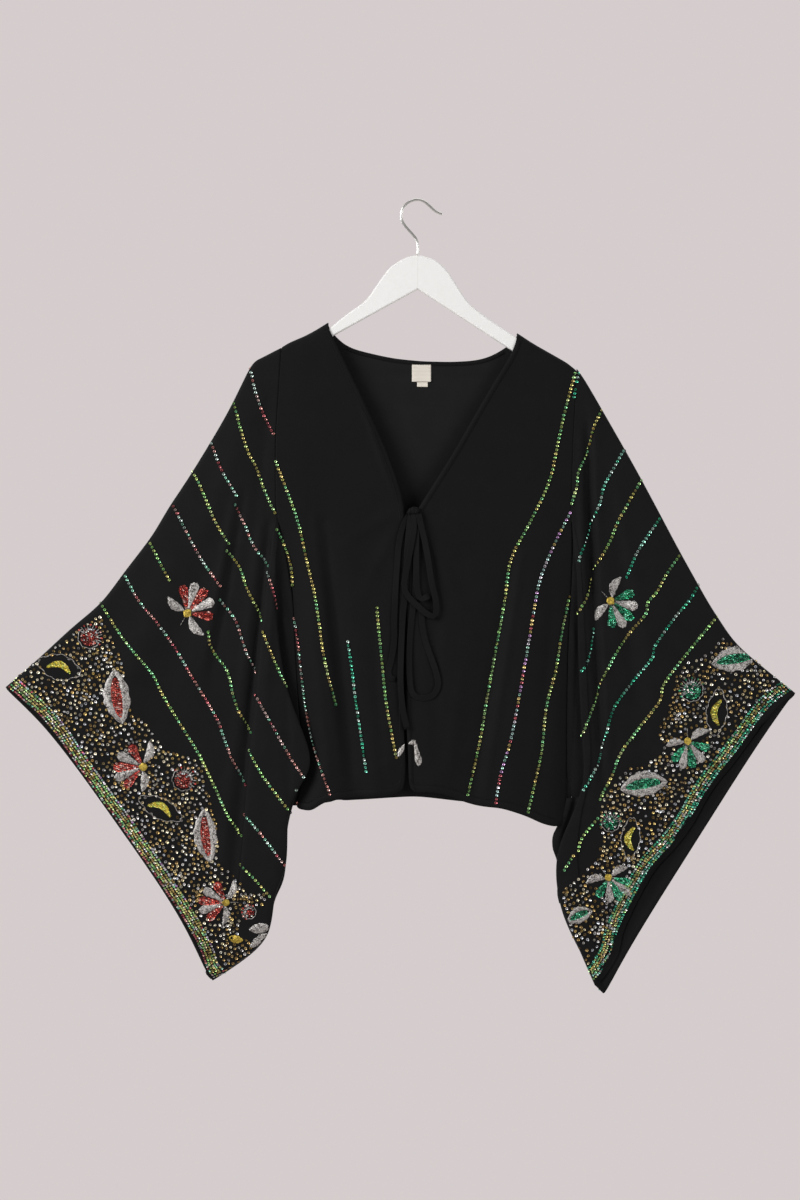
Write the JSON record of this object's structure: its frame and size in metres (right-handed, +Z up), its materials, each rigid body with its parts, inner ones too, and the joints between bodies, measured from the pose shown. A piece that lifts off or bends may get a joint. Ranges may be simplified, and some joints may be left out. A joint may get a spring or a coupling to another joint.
{
  "type": "tie-front kimono-sleeve sari blouse on a wooden hanger",
  "caption": "Black crepe tie-front blouse with wide kimono sleeves, sequin stripes and a sequinned sari border at the cuffs, hung on a flat white wooden hanger.",
  "frame": {"origin": "the inside top of the hook's bend, where the rail that it hangs on bears", "axes": "+Z up along the hang, +Y from the front of the blouse to its back, +X to the right of a viewer who faces the front"},
  "size_m": [1.0528, 0.0475, 1.0614],
  "materials": {
    "black_crepe": "matte crinkled crepe with a dry hand",
    "label_cotton": "woven cream cotton tape, without lettering",
    "painted_wood": "white satin paint on wood",
    "chromed_wire": "bright chromed steel wire",
    "gold_sequin": "metallised polyester sequins, gold and copper",
    "silver_sequin": "metallised polyester sequins, iridescent silver",
    "green_sequin": "metallised polyester sequins, green and teal",
    "rose_sequin": "metallised polyester sequins, rose and red"
  },
  "bodies": {
    "root": {"front_left": "black_crepe", "front_right": "black_crepe", "back": "black_crepe", "sleeve_left": "black_crepe", "sleeve_right": "black_crepe", "tie_loop_low": "black_crepe", "tie_loop_left": "black_crepe", "tie_tail_long": "black_crepe", "tie_tail_short": "black_crepe", "tie_loop_front": "black_crepe", "tie_knot": "black_crepe", "label": "label_cotton", "label_tab": "label_cotton", "hanger_body": "painted_wood", "hanger_hook": "chromed_wire"}
  },
  "joints": []
}
